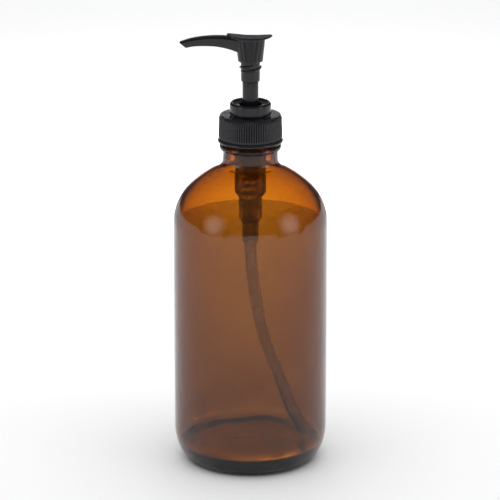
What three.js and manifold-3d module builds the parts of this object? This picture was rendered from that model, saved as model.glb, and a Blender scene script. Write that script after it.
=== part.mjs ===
// Soap pump dispenser: an amber glass Boston round bottle with a black saddle-head lotion pump.
// Millimetres, +Z up, origin at the centre of the bottle's foot. The spout points along -X.
import * as THREE from 'three';
import { mergeVertices } from 'three/addons/utils/BufferGeometryUtils.js';
import Module from 'manifold-3d';

const wasm = await Module();
wasm.setup();

// ---- driving dimensions -------------------------------------------------------------------------

const GAP = 0.3; // clearance between pieces that touch
const DEG = Math.PI / 180;

// Bottle
const BODY_R = 37.5;
const WALL = 2.6;
const SHOULDER_Z = 121.0; // where the straight wall ends
const SHOULDER_R1 = 25.56; // the shoulder is two tangent arcs
const SHOULDER_R2 = 39.42;
const SHOULDER_TURN = 37.55 * DEG; // where the first arc meets the second
const NECK_R = 13.5;
const NECK_FILLET_R = 3.45;
const HEEL_R1 = 25.22; // the heel is two tangent arcs too
const HEEL_R2 = 8.0;
const HEEL_TURN = 28.2 * DEG;
const FOOT_WIDTH = 3.0; // flat ring that the bottle stands on
const PUSH_UP = 2.0;
const BASE_Z = 7.2; // inside floor of the bottle
const BASE_CROWN = 0.8;
const INNER_CORNER_R = 9.0;
const BEAD_Z = 156.9; // transfer bead below the closure
const BEAD_H = 3.5;
const BEAD_R = 15.0;
const RIM_Z = 169.4;
const MOUTH_R = 10.2;

// Screw thread shared by the bottle and the closure (28 mm, six turns to the inch)
const THREAD_LEAD = 25.4 / 6;
const THREAD_ROOT_R = 12.75;
const THREAD_CREST_R = 13.8;
const THREAD_Z = 162.3; // centre of the glass thread at its lower end
const THREAD_TURNS = 1.1;
const THREAD_DROP = 1.83; // the closure's thread runs this far below the glass thread

// Closure
const CLOSURE_Z = 160.6;
const CLOSURE_TOP_Z = 174.4;
const CLOSURE_R = 15.1;
const CLOSURE_LOW_R = 15.4;
const CLOSURE_FLANGE_R = 15.85;
const CLOSURE_FLANGE_H = 2.3;
const CLOSURE_BORE_R = 14.1;
const CLOSURE_ROOF = 1.6;
const CLOSURE_HOLE_R = 7.9;
const CLOSURE_EDGE_R = 0.8; // rounded top edge
const RIB_COUNT = 80;
const RIB_DEPTH = 0.35;
const RIB_TOP_Z = CLOSURE_TOP_Z - 0.9;

// Pump stack under the closure's roof
const FLANGE_R = 12.4;
const FLANGE_H = 1.3;
const FLANGE_Z = CLOSURE_TOP_Z - CLOSURE_ROOF - GAP - FLANGE_H;
const GASKET_H = FLANGE_Z - RIM_Z - 2 * GAP;

// Housing
const CYLINDER_R = 7.55;
const CYLINDER_BORE_R = 6.6;
const CYLINDER_TOP_Z = 178.0;
const CYLINDER_END_Z = 135.7; // lower end of the wide part
const CAGE_R = 5.6;
const CAGE_TOP_Z = 132.9;
const CAGE_END_Z = 123.0;
const SPRING_BORE_R = 4.7;
const LEDGE_Z = 128.2; // the spring stands here
const BALL_BORE_R = 3.0;
const SEAT_HOLE_R = 1.5;
const SEAT_Z = 120.7; // small end of the 45 degree ball seat
const SOCKET_R = 4.0;
const SOCKET_TOP_Z = 120.2;
const SOCKET_END_Z = 110.3;
const SOCKET_FLOOR_Z = 119.3;
const STOP_RIBS = 3; // they keep the ball in its cage
const STOP_RIB_R = 2.0;

// Dip tube, ball and spring
const TUBE_R = 3.0;
const TUBE_BORE_R = 2.2;
const BALL_R = 2.4;
const WIRE_R = 0.45;
const COIL_R = 3.75;
const COIL_TURNS = 8;

// Plunger
const PILOT_R = 2.9;
const PILOT_Z = 143.0;
const PLUG_FLANGE_Z = 151.9;
const PLUG_FLANGE_R = 5.0;
const PLUG_FLANGE_H = 1.1;
const PLUG_CONE_R = 3.9;
const PLUG_NECK_R = 1.9;
const PLUG_NECK_Z = 154.9;
const PLUG_ROD_Z = 157.5;
const PLUG_TOP_Z = 170.0;
const PLUG_WEB = 1.1; // thickness of the cross-shaped rod
const PISTON_R = 6.35;
const PISTON_Z = 154.45;
const PISTON_TOP_Z = 160.6;
const PISTON_SEAT_R = 3.0; // meets the plug's cone when the head is up
const PISTON_SLEEVE_R = 4.9;
const PISTON_WALL_R = 5.5; // inside of the outer wall
const PISTON_WEB_Z = PISTON_Z + 2.35; // the web joins sleeve and wall
const PISTON_WEB_H = 1.0;
const PISTON_LIP = 0.4;
const STEM_R = 3.9;
const STEM_BORE_R = 2.7;
const STEM_Z = 157.4;
const STEM_STEP_Z = 190.6; // the barrel of the head rests over this shoulder
const STEM_TOP_R = 3.5;
const STEM_TOP_BORE_R = 2.4;
const STEM_TOP_Z = 202.4;

// Chaplet (locking collar)
const COLLAR_R = 10.05;
const COLLAR_TOP_Z = 180.5;
const COLLAR_RIM_R = 9.0;
const COLLAR_DISH = 0.9;
const GUIDE_R = STEM_R + GAP;
const GUIDE_Z = 162.2;
const LOCK_BORE_R = 5.4;
const LOCK_FLOOR_Z = COLLAR_TOP_Z - 4.6;

// Head
const BARREL_Z = STEM_STEP_Z + GAP;
const BARREL_R = 4.6;
const BARREL_TOP_R = 4.75;
const LOCK_LEAD = 4.4;
const LOCK_CREST_R = 5.1;
const LOCK_THREAD_Z = 195.4;
const LOCK_THREAD_TURNS = 0.8;
const SKIRT_Z = 200.5;
const SKIRT_R = 6.05;
const COLUMN_TOP_Z = 212.0;
const COLUMN_WIDEN = 1.19; // the column grows into an oval under the saddle
const COLUMN_NARROW = 0.84;
const SADDLE_HALF_W = 5.2;
const SADDLE_LEFT_X = -11.4;
const SADDLE_RIGHT_X = 10.6;
const SADDLE_LOW_X = 1.0; // lowest point of the dished top
const SADDLE_LOW_Z = 212.2;
const SADDLE_RISE_X = 9.4; // the top is 1 mm higher this far from its lowest point
const SADDLE_THICKNESS = 1.1;
const SADDLE_EDGE = 0.5; // thickness at the two tips
const SPOUT_HALF_W = 3.1;
const SPOUT_TIP_HALF_W = 2.2;
const SPOUT_TIP_X = -34.0;
const SPOUT_TAPER = 24; // length over which the spout narrows to its tip
const RISER_R = 1.9; // upright part of the liquid's way
const RISER_TOP_Z = 206.0;
const SPOUT_CHANNEL_R = 1.35;

const ROUND = 24; // segments round a small piece
const ROUND_LARGE = 40; // and round the bottle and closure

// ---- geometry helpers ---------------------------------------------------------------------------

const point = (r, z) => new THREE.Vector2(r, z);

// Points of an arc in the (r, z) plane, both ends included.
function arc(centreR, centreZ, radius, from, to, steps) {
  const points = [];
  for (let i = 0; i <= steps; i += 1) {
    const angle = from + ((to - from) * i) / steps;
    points.push(point(centreR + radius * Math.cos(angle), centreZ + radius * Math.sin(angle)));
  }
  return points;
}

// The same shape as positions and triangles only, with shared corners and no collapsed triangles.
function weld(geometry) {
  const bare = geometry.clone();
  for (const name of Object.keys(bare.attributes)) {
    if (name !== 'position') bare.deleteAttribute(name);
  }
  const merged = mergeVertices(bare, 1e-4);
  const corners = merged.index.array;
  const kept = [];
  for (let i = 0; i < corners.length; i += 3) {
    const [a, b, c] = corners.slice(i, i + 3);
    if (a !== b && b !== c && c !== a) kept.push(a, b, c);
  }
  merged.setIndex(kept);
  return merged;
}

// A solid of revolution about Z from a closed outline, counter-clockwise in (r, z).
function turned(outline, segments = ROUND) {
  const geometry = new THREE.LatheGeometry([...outline, outline[0]], segments);
  return weld(geometry.rotateX(Math.PI / 2));
}

function toSolid(geometry) {
  const welded = weld(geometry);
  const vertProperties = new Float32Array(welded.attributes.position.array);
  const triVerts = new Uint32Array(welded.index.array);
  return new wasm.Manifold(new wasm.Mesh({ numProp: 3, vertProperties, triVerts }));
}

function toGeometry(solid) {
  const mesh = solid.getMesh();
  const geometry = new THREE.BufferGeometry();
  geometry.setAttribute('position', new THREE.BufferAttribute(mesh.vertProperties, 3));
  geometry.setIndex(new THREE.BufferAttribute(mesh.triVerts, 1));
  return geometry;
}

function join(...geometries) {
  const solids = geometries.map(toSolid);
  return toGeometry(solids.reduce((whole, next) => whole.add(next)));
}

function cut(geometry, ...cutters) {
  const solids = cutters.map(toSolid);
  return toGeometry(solids.reduce((whole, next) => whole.subtract(next), toSolid(geometry)));
}

// A plain rod about Z, used as a cutter.
function rod(radius, fromZ, toZ, segments = ROUND) {
  return turned([point(0, fromZ), point(radius, fromZ), point(radius, toZ), point(0, toZ)], segments);
}

// A helical ridge. It stands on the radius `root` (a little inside the wall), reaches `crest`, and
// fades to nothing at both ends. The centre of its root starts at height z, at angle `start`.
function thread({ root, crest, rootHalf, crestHalf, z, lead, turns, start = 0, perTurn = 30 }) {
  const section = [
    point(root, -rootHalf),
    point(crest, -crestHalf),
    point(crest, crestHalf),
    point(root, rootHalf),
  ];
  if (crest < root) section.reverse();
  section.push(section[0]);
  const steps = Math.ceil(turns * perTurn);
  const geometry = new THREE.LatheGeometry(section, steps, start, turns * 2 * Math.PI);
  const position = geometry.attributes.position;
  for (let i = 0; i <= steps; i += 1) {
    const turn = (turns * i) / steps;
    const angle = start + turn * 2 * Math.PI;
    const fade = Math.min(1, turn * 9, (turns - turn) * 9);
    section.forEach((corner, j) => {
      const radius = root + (corner.x - root) * fade;
      const height = z + lead * turn + corner.y * fade;
      position.setXYZ(i * section.length + j, radius * Math.sin(angle), height, radius * Math.cos(angle));
    });
  }
  return weld(geometry.rotateX(Math.PI / 2));
}

// A side outline in (x, z), given thickness along Y, then narrowed by halfWidth(x).
function plank(outline, halfWidth, rounding) {
  const shape = new THREE.Shape(outline);
  const options = { depth: 2 - 2 * rounding, bevelEnabled: rounding > 0, steps: 1 };
  const bevel = { bevelThickness: rounding, bevelSize: 0.5, bevelOffset: -0.5, bevelSegments: 2 };
  const geometry = new THREE.ExtrudeGeometry(shape, { ...options, ...bevel });
  geometry.translate(0, 0, rounding - 1).rotateX(Math.PI / 2);
  const position = geometry.attributes.position;
  for (let i = 0; i < position.count; i += 1) {
    position.setY(i, position.getY(i) * halfWidth(position.getX(i)));
  }
  return weld(geometry);
}

function circle(radius, sides) {
  const shape = new THREE.Shape();
  shape.absarc(0, 0, radius, 0, 2 * Math.PI);
  return new THREE.Shape(shape.getSpacedPoints(sides).slice(0, sides));
}

// ---- bottle -------------------------------------------------------------------------------------

// Outside of the shoulder and neck fillet, or the inside when `inset` is the wall thickness.
function shoulder(inset, steps) {
  const first = point(BODY_R - SHOULDER_R1, SHOULDER_Z);
  const second = first.clone();
  const shift = SHOULDER_R1 - SHOULDER_R2;
  second.add(point(shift * Math.cos(SHOULDER_TURN), shift * Math.sin(SHOULDER_TURN)));
  const filletR = NECK_R + NECK_FILLET_R;
  const reach = SHOULDER_R2 + NECK_FILLET_R;
  const filletZ = second.y + Math.sqrt(reach ** 2 - (filletR - second.x) ** 2);
  const meet = Math.atan2(filletZ - second.y, filletR - second.x);
  const fillet = NECK_FILLET_R + inset;
  return [
    ...arc(first.x, first.y, SHOULDER_R1 - inset, 0, SHOULDER_TURN, steps),
    ...arc(second.x, second.y, SHOULDER_R2 - inset, SHOULDER_TURN, meet, steps).slice(1),
    ...arc(filletR, filletZ, fillet, meet + Math.PI, Math.PI, 3).slice(1),
  ];
}

function heel() {
  const span = HEEL_R1 - HEEL_R2;
  const firstZ = HEEL_R2 + span * Math.sin(HEEL_TURN);
  const footR = BODY_R - HEEL_R1 + span * Math.cos(HEEL_TURN);
  return {
    footR,
    points: [
      ...arc(footR, HEEL_R2, HEEL_R2, -Math.PI / 2, -HEEL_TURN, 5),
      ...arc(BODY_R - HEEL_R1, firstZ, HEEL_R1, -HEEL_TURN, 0, 3).slice(1),
    ],
  };
}

function bottleGeometry() {
  const { footR, points } = heel();
  const pushR = footR - FOOT_WIDTH;
  const bead = BEAD_H / 2;
  const cornerR = BODY_R - WALL - INNER_CORNER_R;
  const outline = [
    point(0, PUSH_UP),
    point(pushR * 0.6, PUSH_UP * 0.9),
    point(pushR * 0.9, PUSH_UP * 0.45),
    point(pushR, 0),
    ...points,
    ...shoulder(0, 5),
    point(NECK_R, BEAD_Z - 0.4),
    ...arc(BEAD_R - bead, BEAD_Z + bead, bead, -Math.PI / 2, Math.PI / 2, 4),
    point(THREAD_ROOT_R, BEAD_Z + BEAD_H + 0.1),
    point(THREAD_ROOT_R, RIM_Z - 0.5),
    point(THREAD_ROOT_R - 0.5, RIM_Z),
    point(MOUTH_R + 0.5, RIM_Z),
    point(MOUTH_R, RIM_Z - 0.5),
    ...shoulder(WALL, 4).reverse(),
    ...arc(cornerR, BASE_Z + INNER_CORNER_R, INNER_CORNER_R, 0, -Math.PI / 2, 5),
    point(0, BASE_Z + BASE_CROWN),
  ];
  const glassThread = thread({
    root: THREAD_ROOT_R - 0.3,
    crest: THREAD_CREST_R,
    rootHalf: 1.2,
    crestHalf: 0.6,
    z: THREAD_Z,
    lead: THREAD_LEAD,
    turns: THREAD_TURNS,
  });
  return join(turned(outline, ROUND_LARGE), glassThread);
}

// ---- closure ------------------------------------------------------------------------------------

// The ring of grip ribs: a toothed outline, slightly wider at its foot.
function ribGeometry() {
  const outline = [];
  const inner = CLOSURE_R - RIB_DEPTH;
  for (let i = 0; i < RIB_COUNT; i += 1) {
    for (const [part, radius] of [[0, inner], [0.5, CLOSURE_R]]) {
      const angle = ((i + part) / RIB_COUNT) * 2 * Math.PI;
      outline.push(point(radius * Math.cos(angle), radius * Math.sin(angle)));
    }
  }
  const shape = new THREE.Shape(outline);
  shape.holes.push(circle(CLOSURE_BORE_R + 0.2, ROUND_LARGE));
  const low = CLOSURE_Z + CLOSURE_FLANGE_H - 0.4;
  const depth = RIB_TOP_Z - low;
  const geometry = new THREE.ExtrudeGeometry(shape, { depth, bevelEnabled: false });
  const position = geometry.attributes.position;
  for (let i = 0; i < position.count; i += 1) {
    const widen = position.getZ(i) > 0 ? 1 : CLOSURE_LOW_R / CLOSURE_R;
    position.setXY(i, position.getX(i) * widen, position.getY(i) * widen);
  }
  return geometry.translate(0, 0, low);
}

function closureGeometry() {
  const roofZ = CLOSURE_TOP_Z - CLOSURE_ROOF;
  const flange = CLOSURE_FLANGE_H / 2;
  const ribFoot = RIB_DEPTH + 0.05;
  const edge = CLOSURE_EDGE_R;
  const body = turned([
    point(CLOSURE_BORE_R, CLOSURE_Z),
    ...arc(CLOSURE_FLANGE_R - flange, CLOSURE_Z + flange, flange, -Math.PI / 2, Math.PI / 2, 4),
    point(CLOSURE_LOW_R - ribFoot, CLOSURE_Z + CLOSURE_FLANGE_H + 0.2),
    point(CLOSURE_R - ribFoot, RIB_TOP_Z),
    ...arc(CLOSURE_R - edge, CLOSURE_TOP_Z - edge, edge, 0, Math.PI / 2, 3),
    point(CLOSURE_HOLE_R, CLOSURE_TOP_Z),
    point(CLOSURE_HOLE_R, roofZ),
    point(CLOSURE_BORE_R, roofZ),
  ], ROUND_LARGE);
  const start = 0.29; // turns
  const capThread = thread({
    root: CLOSURE_BORE_R + 0.3,
    crest: THREAD_ROOT_R + 0.35,
    rootHalf: 0.75,
    crestHalf: 0.4,
    z: THREAD_Z - THREAD_DROP + THREAD_LEAD * start,
    lead: THREAD_LEAD,
    turns: 1.0,
    start: start * 2 * Math.PI,
  });
  return join(body, ribGeometry(), capThread);
}

// ---- pump body ----------------------------------------------------------------------------------

function gasketGeometry() {
  const low = RIM_Z + GAP;
  const inner = CYLINDER_R + 0.35;
  const outline = [
    point(inner, low),
    point(FLANGE_R, low),
    point(FLANGE_R, low + GASKET_H),
    point(inner, low + GASKET_H),
  ];
  return turned(outline, ROUND_LARGE);
}

function housingGeometry() {
  const seatTop = SEAT_Z + BALL_BORE_R - SEAT_HOLE_R;
  const tube = turned([
    point(TUBE_R + GAP, SOCKET_END_Z),
    point(SOCKET_R, SOCKET_END_Z),
    point(SOCKET_R, SOCKET_TOP_Z),
    point(CAGE_R, CAGE_END_Z),
    point(CAGE_R, CAGE_TOP_Z),
    point(CYLINDER_R, CYLINDER_END_Z),
    point(CYLINDER_R, FLANGE_Z),
    point(FLANGE_R, FLANGE_Z),
    point(FLANGE_R, FLANGE_Z + FLANGE_H),
    point(CYLINDER_R, FLANGE_Z + FLANGE_H),
    point(CYLINDER_R, CYLINDER_TOP_Z),
    point(CYLINDER_BORE_R, CYLINDER_TOP_Z),
    point(CYLINDER_BORE_R, CYLINDER_END_Z + 0.9),
    point(SPRING_BORE_R, CAGE_TOP_Z + 0.5),
    point(SPRING_BORE_R, LEDGE_Z),
    point(BALL_BORE_R, LEDGE_Z),
    point(BALL_BORE_R, seatTop),
    point(SEAT_HOLE_R, SEAT_Z),
    point(SEAT_HOLE_R, SOCKET_FLOOR_Z),
    point(TUBE_R + GAP, SOCKET_FLOOR_Z),
  ]);
  const ribs = [];
  for (let i = 0; i < STOP_RIBS; i += 1) {
    const length = BALL_BORE_R - STOP_RIB_R + 0.6;
    const rib = new THREE.BoxGeometry(length, 0.9, 1.0);
    rib.translate(STOP_RIB_R + length / 2, 0, LEDGE_Z - 0.55);
    ribs.push(rib.rotateZ((i / STOP_RIBS) * 2 * Math.PI));
  }
  const vent = rod(0.5, 0, CYLINDER_R + 1, 10).rotateY(Math.PI / 2);
  return cut(join(tube, ...ribs), vent.translate(0, 0, GUIDE_Z + 6));
}

// The collar's wall is a cap over the housing's neck, with a sleeve inside that guides the stem.
function chapletGeometry() {
  const low = CLOSURE_TOP_Z + GAP;
  const slotTop = CYLINDER_TOP_Z + GAP;
  const edge = COLLAR_R - COLLAR_RIM_R;
  const dishZ = COLLAR_TOP_Z - COLLAR_DISH;
  const body = turned([
    point(GUIDE_R, GUIDE_Z),
    point(CYLINDER_BORE_R - GAP, GUIDE_Z),
    point(CYLINDER_BORE_R - GAP, slotTop),
    point(CYLINDER_R + GAP, slotTop),
    point(CYLINDER_R + GAP, low),
    point(COLLAR_R, low),
    ...arc(COLLAR_RIM_R, COLLAR_TOP_Z - edge, edge, 0, Math.PI / 2, 3),
    point(COLLAR_RIM_R - 0.7, dishZ),
    point(LOCK_BORE_R, dishZ - 0.2),
    point(LOCK_BORE_R, LOCK_FLOOR_Z),
    point(GUIDE_R, LOCK_FLOOR_Z),
  ]);
  const ridges = [0, Math.PI].map((start) => thread({
    root: LOCK_BORE_R + 0.2,
    crest: LOCK_BORE_R - 0.4,
    rootHalf: 0.5,
    crestHalf: 0.25,
    z: LOCK_FLOOR_Z + 1.0,
    lead: LOCK_LEAD,
    turns: 0.4,
    start,
  }));
  return join(body, ...ridges);
}

// ---- inside the housing -------------------------------------------------------------------------

// The tube leaves its socket straight down, then bends across to the corner of the base.
function tubeGeometry() {
  const route = new THREE.CatmullRomCurve3([
    new THREE.Vector3(0, 0, SOCKET_FLOOR_Z - GAP),
    new THREE.Vector3(0, 0, SOCKET_END_Z - 4),
    new THREE.Vector3(1.5, 0, 90),
    new THREE.Vector3(6.0, 0, 65),
    new THREE.Vector3(14.0, 0, 41),
    new THREE.Vector3(22.2, 0, 20.8),
    new THREE.Vector3(27.4, 0, 11.2),
  ], false, 'centripetal');
  const section = circle(TUBE_R, 10);
  section.holes.push(circle(TUBE_BORE_R, 10));
  return weld(new THREE.ExtrudeGeometry(section, { steps: 32, extrudePath: route }));
}

function ballGeometry() {
  return weld(new THREE.SphereGeometry(BALL_R, 14, 10).rotateX(Math.PI / 2));
}

// A compression spring about Z whose end turns lie almost flat.
class SpringPath extends THREE.Curve {
  constructor(low, high) {
    super();
    this.low = low;
    this.height = high - low;
  }

  getPoint(t, target = new THREE.Vector3()) {
    const angle = t * COIL_TURNS * 2 * Math.PI;
    const flat = 1 / COIL_TURNS; // one turn at each end
    const flatRise = (2.3 * WIRE_R) / this.height;
    const middle = (t - flat) / (1 - 2 * flat);
    let rise = flatRise + (1 - 2 * flatRise) * middle;
    if (t < flat) rise = flatRise * (t / flat);
    if (t > 1 - flat) rise = 1 - flatRise * ((1 - t) / flat);
    return target.set(COIL_R * Math.cos(angle), COIL_R * Math.sin(angle), this.low + this.height * rise);
  }
}

function springGeometry() {
  const path = new SpringPath(LEDGE_Z + GAP + WIRE_R, PLUG_FLANGE_Z - GAP - WIRE_R);
  const steps = COIL_TURNS * 14;
  return weld(new THREE.ExtrudeGeometry(circle(WIRE_R, 6), { steps, extrudePath: path }));
}

// Pilot, spring flange, sealing cone and neck are turned; the rod above is a cross that leaves
// four channels in the stem's bore.
function plugGeometry() {
  const coneZ = PLUG_FLANGE_Z + PLUG_FLANGE_H;
  const chamfer = 0.6;
  const coneTopR = 2.2;
  const body = turned([
    point(0, PILOT_Z),
    point(PILOT_R - chamfer, PILOT_Z),
    point(PILOT_R, PILOT_Z + chamfer),
    point(PILOT_R, PLUG_FLANGE_Z),
    point(PLUG_FLANGE_R, PLUG_FLANGE_Z),
    point(PLUG_FLANGE_R, coneZ),
    point(PLUG_CONE_R, coneZ),
    point(coneTopR, PLUG_NECK_Z),
    point(PLUG_NECK_R, PLUG_NECK_Z),
    point(PLUG_NECK_R, PLUG_ROD_Z),
    point(0, PLUG_ROD_Z),
  ]);
  const height = PLUG_TOP_Z - PLUG_ROD_Z + 1;
  const span = 2 * (STEM_BORE_R - GAP);
  const middle = PLUG_TOP_Z - height / 2;
  const web = new THREE.BoxGeometry(span, PLUG_WEB, height).translate(0, 0, middle);
  const crossWeb = new THREE.BoxGeometry(PLUG_WEB, span, height).translate(0, 0, middle);
  return join(body, web, crossWeb);
}

// A sleeve on the stem, a web, and an outer wall whose two lips wipe the cylinder.
function pistonGeometry() {
  const sleeveBore = STEM_R + GAP;
  const webTop = PISTON_WEB_Z + PISTON_WEB_H;
  const lipLow = PISTON_Z - 0.25;
  const lipHigh = PISTON_TOP_Z - 0.2;
  return turned([
    point(PISTON_SEAT_R, PISTON_Z),
    point(PISTON_SLEEVE_R - 0.5, PISTON_Z),
    point(PISTON_SLEEVE_R, PISTON_Z + 0.95),
    point(PISTON_SLEEVE_R, PISTON_WEB_Z),
    point(PISTON_WALL_R, PISTON_WEB_Z),
    point(PISTON_R - PISTON_LIP, lipLow),
    point(PISTON_R, lipLow),
    point(PISTON_R - 0.15, PISTON_WEB_Z),
    point(PISTON_R - 0.15, webTop),
    point(PISTON_R, lipHigh),
    point(PISTON_R - PISTON_LIP, lipHigh),
    point(PISTON_WALL_R, webTop),
    point(PISTON_SLEEVE_R, webTop),
    point(PISTON_SLEEVE_R, PISTON_TOP_Z),
    point(sleeveBore, PISTON_TOP_Z),
    point(sleeveBore, PISTON_Z + 1.45),
    point(PISTON_SEAT_R, PISTON_Z + 0.85),
  ]);
}

function stemGeometry() {
  return turned([
    point(STEM_BORE_R, STEM_Z),
    point(STEM_R, STEM_Z),
    point(STEM_R, STEM_STEP_Z),
    point(STEM_TOP_R, STEM_STEP_Z),
    point(STEM_TOP_R, STEM_TOP_Z),
    point(STEM_TOP_BORE_R, STEM_TOP_Z),
    point(STEM_TOP_BORE_R, STEM_STEP_Z - 4),
    point(STEM_BORE_R, STEM_STEP_Z - 5),
  ]);
}

// ---- head ---------------------------------------------------------------------------------------

// Barrel, skirt and column in one turning; the column then grows oval towards the saddle.
function columnGeometry() {
  const geometry = turned([
    point(0, BARREL_Z),
    point(BARREL_R, BARREL_Z),
    point(BARREL_TOP_R, SKIRT_Z),
    point(SKIRT_R, SKIRT_Z),
    point(SKIRT_R, SKIRT_Z + 4),
    point(SKIRT_R, COLUMN_TOP_Z),
    point(0, COLUMN_TOP_Z),
  ]);
  const position = geometry.attributes.position;
  for (let i = 0; i < position.count; i += 1) {
    const part = Math.max(0, (position.getZ(i) - SKIRT_Z) / (COLUMN_TOP_Z - SKIRT_Z));
    const widen = 1 + (COLUMN_WIDEN - 1) * part;
    const narrow = 1 + (COLUMN_NARROW - 1) * part;
    position.setXY(i, position.getX(i) * widen, position.getY(i) * narrow);
  }
  return geometry;
}

// The saddle is a curved strip, dished along X, thinner and rounder at its two tips.
function saddleGeometry() {
  const middle = (SADDLE_LEFT_X + SADDLE_RIGHT_X) / 2;
  const half = (SADDLE_RIGHT_X - SADDLE_LEFT_X) / 2;
  const steps = 12;
  const top = [];
  const under = [];
  for (let i = 0; i <= steps; i += 1) {
    const side = (2 * i) / steps - 1; // -1 at the spout's tip, 1 at the other
    const x = middle + half * side;
    const z = SADDLE_LOW_Z + ((x - SADDLE_LOW_X) / SADDLE_RISE_X) ** 2;
    const thickness = SADDLE_THICKNESS + (SADDLE_EDGE - SADDLE_THICKNESS) * side ** 2;
    top.push(point(x, z));
    under.unshift(point(x, z - thickness));
  }
  const width = (x) => {
    const reach = Math.abs(x - middle) / (half + 0.3);
    return SADDLE_HALF_W * Math.sqrt(Math.max(0.12, 1 - reach ** 3));
  };
  return plank([...under, ...top], width, 0);
}

// The spout arches over to an oblique tip; its sides close in towards the tip.
function spoutGeometry() {
  const crown = new THREE.SplineCurve([
    point(-4.0, 211.6),
    point(-10.0, 212.7),
    point(-17.5, 212.95),
    point(-24.0, 212.4),
    point(-29.6, 211.3),
    point(SPOUT_TIP_X, 209.9),
  ]);
  const belly = new THREE.SplineCurve([
    point(-30.7, 207.1),
    point(-27.0, 207.8),
    point(-22.0, 208.0),
    point(-16.0, 207.7),
    point(-11.0, 206.7),
    point(-6.6, 205.1),
    point(-4.0, 204.2),
  ]);
  const outline = [...crown.getPoints(14), ...belly.getPoints(14)];
  const width = (x) => {
    const part = Math.min(1, Math.max(0, (x - SPOUT_TIP_X) / SPOUT_TAPER));
    return SPOUT_TIP_HALF_W + (SPOUT_HALF_W - SPOUT_TIP_HALF_W) * part;
  };
  return plank(outline, width, 0.3);
}

function channelGeometry() {
  const bend = new THREE.CatmullRomCurve3([
    new THREE.Vector3(0, 0, STEM_TOP_Z - 1),
    new THREE.Vector3(0, 0, 206.5),
    new THREE.Vector3(-2.6, 0, 209.0),
    new THREE.Vector3(-9.0, 0, 209.9),
    new THREE.Vector3(-18.0, 0, 210.4),
    new THREE.Vector3(-27.0, 0, 209.6),
    new THREE.Vector3(SPOUT_TIP_X - 2.0, 0, 207.3),
  ]);
  return weld(new THREE.ExtrudeGeometry(circle(SPOUT_CHANNEL_R, 12), { steps: 24, extrudePath: bend }));
}

function actuatorGeometry() {
  const threads = [0, Math.PI].map((start) => thread({
    root: BARREL_R - 0.2,
    crest: LOCK_CREST_R,
    rootHalf: 0.55,
    crestHalf: 0.2,
    z: LOCK_THREAD_Z,
    lead: LOCK_LEAD,
    turns: LOCK_THREAD_TURNS,
    start,
    perTurn: 24,
  }));
  const whole = join(columnGeometry(), saddleGeometry(), spoutGeometry(), ...threads);
  const socket = rod(STEM_TOP_R + GAP, BARREL_Z - 1, STEM_TOP_Z + GAP);
  const riser = rod(RISER_R, STEM_TOP_Z, RISER_TOP_Z, 16);
  return cut(whole, socket, riser, channelGeometry());
}

// ---- assembly -----------------------------------------------------------------------------------

const amberGlass = { color: 0x8a3d06, roughness: 0.05, metalness: 0, transparent: true, opacity: 0.45 };
const blackPlastic = { color: 0x141416, roughness: 0.35, metalness: 0 };
const mattBlackPlastic = { color: 0x17171a, roughness: 0.6, metalness: 0 };
const naturalPlastic = { color: 0xd8d4c8, roughness: 0.4, metalness: 0 };
const steel = { color: 0xb4b6b8, roughness: 0.25, metalness: 1 };

const group = new THREE.Group();

function add(name, geometry, look) {
  const mesh = new THREE.Mesh(geometry, new THREE.MeshStandardMaterial(look));
  mesh.name = name;
  group.add(mesh);
  return mesh;
}

const seatApexZ = SEAT_Z - SEAT_HOLE_R; // tip of the seat's 45 degree cone

add('bottle', bottleGeometry(), amberGlass);
add('closure', closureGeometry(), mattBlackPlastic);
add('gasket', gasketGeometry(), naturalPlastic);
add('chaplet', chapletGeometry(), blackPlastic);
add('housing', housingGeometry(), naturalPlastic);
add('dip_tube', tubeGeometry(), naturalPlastic);
add('inlet_ball', ballGeometry(), steel).position.z = seatApexZ + (BALL_R + GAP) * Math.SQRT2;
add('spring', springGeometry(), steel);
add('plug', plugGeometry(), naturalPlastic);
add('piston', pistonGeometry(), naturalPlastic);
add('stem', stemGeometry(), blackPlastic);
add('actuator', actuatorGeometry(), blackPlastic);

export default group;
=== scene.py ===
import math

import bpy
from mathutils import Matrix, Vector


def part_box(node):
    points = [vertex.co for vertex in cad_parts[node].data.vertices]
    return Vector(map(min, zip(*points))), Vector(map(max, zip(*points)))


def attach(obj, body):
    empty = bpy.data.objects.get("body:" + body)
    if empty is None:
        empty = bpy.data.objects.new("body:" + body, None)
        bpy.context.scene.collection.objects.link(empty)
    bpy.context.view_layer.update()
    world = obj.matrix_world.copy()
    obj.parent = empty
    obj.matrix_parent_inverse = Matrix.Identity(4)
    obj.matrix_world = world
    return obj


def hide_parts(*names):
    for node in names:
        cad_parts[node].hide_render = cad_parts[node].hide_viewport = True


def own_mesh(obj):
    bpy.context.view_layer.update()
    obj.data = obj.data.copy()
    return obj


# Soap pump dispenser: amber glass bottle with a black saddle-head lotion pump.
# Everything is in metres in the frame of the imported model. Shapes are worked out in millimetres from
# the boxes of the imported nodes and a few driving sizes, then scaled by MM.

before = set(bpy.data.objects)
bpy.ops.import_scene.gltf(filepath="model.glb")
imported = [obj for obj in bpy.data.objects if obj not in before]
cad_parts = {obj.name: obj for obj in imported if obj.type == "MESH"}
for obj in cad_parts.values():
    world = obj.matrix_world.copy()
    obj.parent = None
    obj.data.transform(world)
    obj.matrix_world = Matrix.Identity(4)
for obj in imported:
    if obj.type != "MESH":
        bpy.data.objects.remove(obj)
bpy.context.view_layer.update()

MM = 0.001
TAU = 2 * math.pi


def low_z(node):
    """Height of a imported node's lowest point, in millimetres."""
    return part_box(node)[0].z / MM


def high_z(node):
    """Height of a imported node's highest point, in millimetres."""
    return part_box(node)[1].z / MM


def reach(node):
    """Largest distance of a packed round node from the bottle's axis, in millimetres."""
    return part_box(node)[1].x / MM


# ---- camera and stage ---------------------------------------------------------------------------

scene = bpy.context.scene
scene.view_settings.view_transform = "Standard"

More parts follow.
